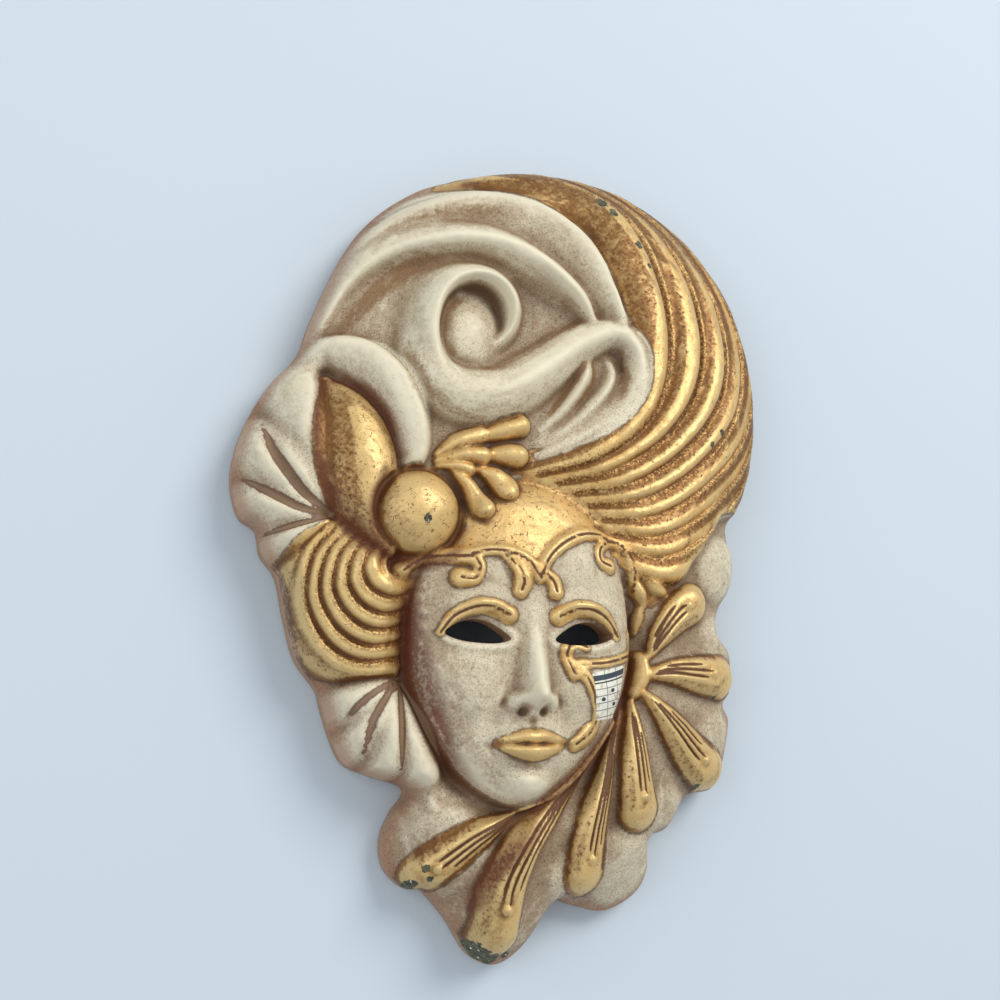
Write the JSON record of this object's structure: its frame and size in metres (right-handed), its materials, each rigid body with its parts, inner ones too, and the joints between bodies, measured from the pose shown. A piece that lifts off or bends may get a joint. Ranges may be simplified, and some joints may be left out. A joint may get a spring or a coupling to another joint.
{
  "type": "venetian wall mask",
  "caption": "Small cast carnival mask with swept hair, shells, petals and open eyes, painted cream and gold, hollow behind.",
  "frame": {"origin": "middle of the bounding box, in the plane of the flat back rim that the mask lies on", "axes": "+Z out of the face, +Y from the chin to the crown, +X to the right of someone who looks at the face"},
  "size_m": [0.1165, 0.1685, 0.0319],
  "materials": {
    "painted_casting": "cast gypsum resin, painted warm cream with brown glaze in the hollows, ornament in burnished gold leaf over red-brown ground"
  },
  "bodies": {
    "root": {"mask": "painted_casting"}
  },
  "joints": []
}
